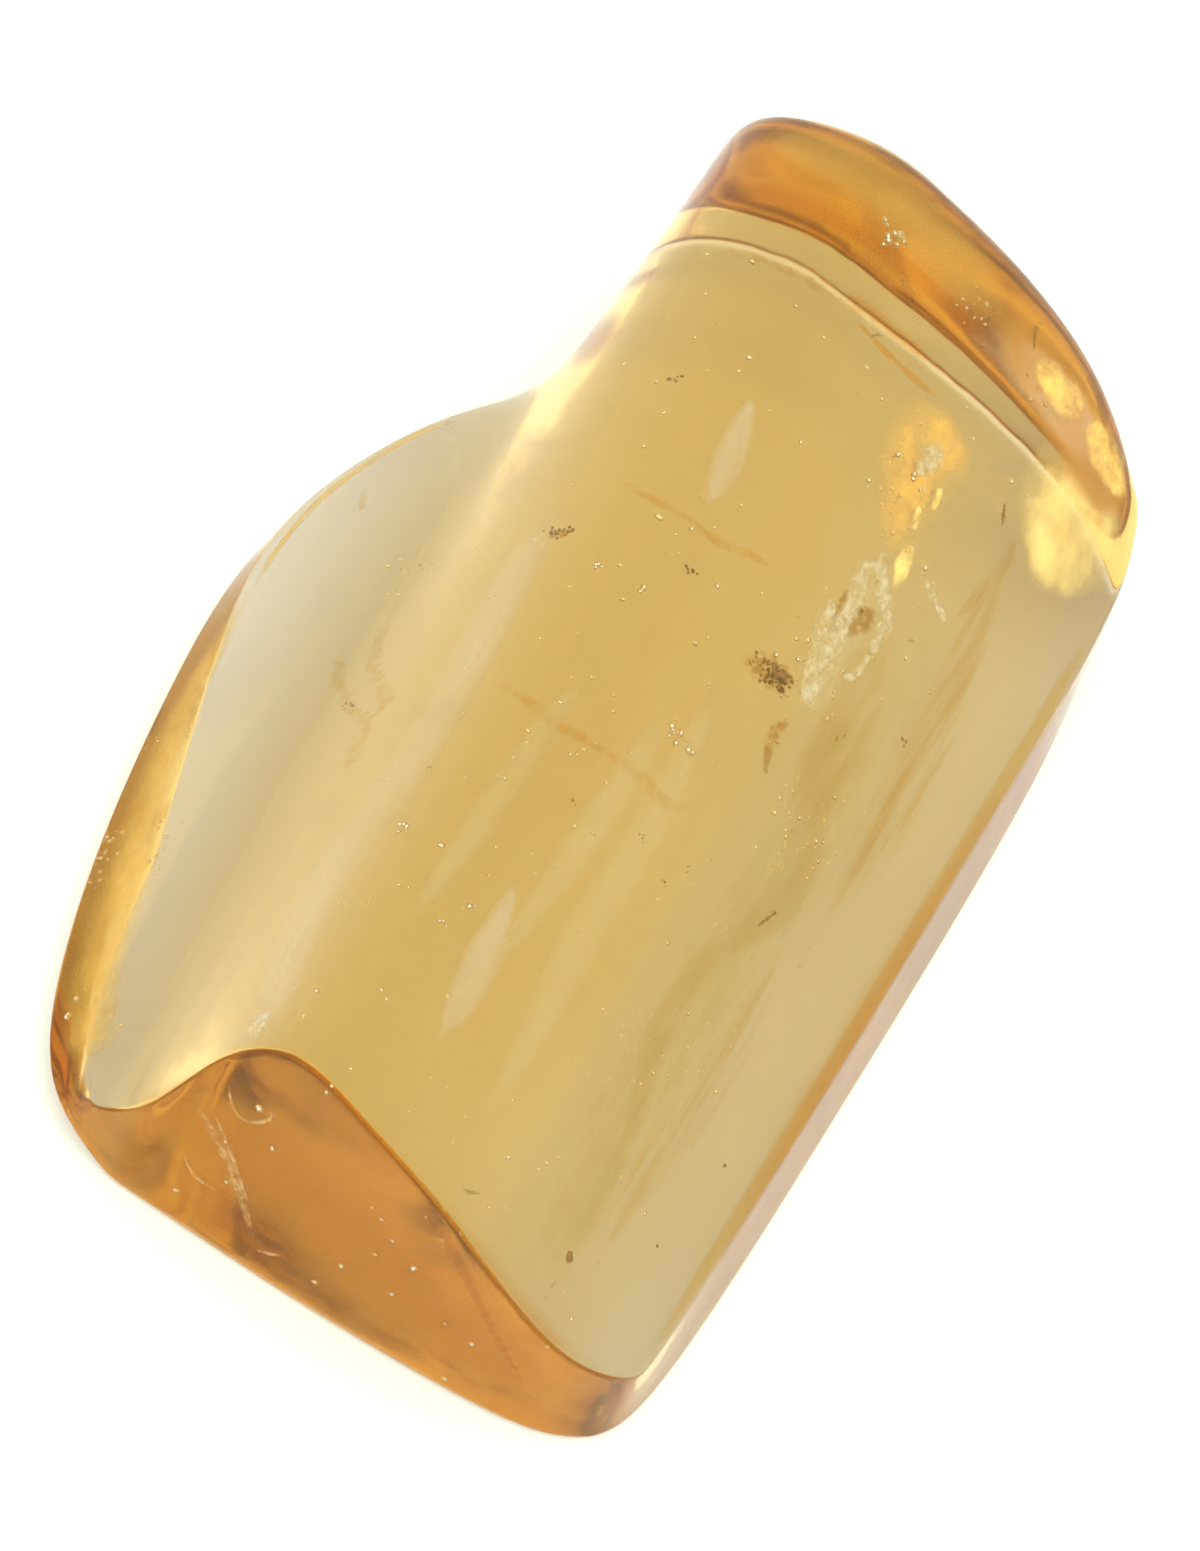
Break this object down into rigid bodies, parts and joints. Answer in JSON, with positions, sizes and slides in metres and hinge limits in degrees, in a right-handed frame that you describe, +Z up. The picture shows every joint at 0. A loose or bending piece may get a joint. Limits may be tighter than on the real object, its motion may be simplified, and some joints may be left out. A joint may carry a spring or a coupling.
{
  "type": "copal resin",
  "caption": "Polished piece of clear golden copal resin: a thick ridged body with a thin rounded wing along one side, lying on its flat back.",
  "frame": {"origin": "middle of the box's underside, on the surface that the flat back rests on", "axes": "+Y along the piece's length, from the square end face to the undercut end; +X across it, away from the wing; +Z up, out of the flat back"},
  "size_m": [0.0342, 0.0584, 0.0146],
  "materials": {
    "copal": "clear golden resin, polished by hand"
  },
  "bodies": {
    "root": {"copal_resin": "copal"}
  },
  "joints": []
}
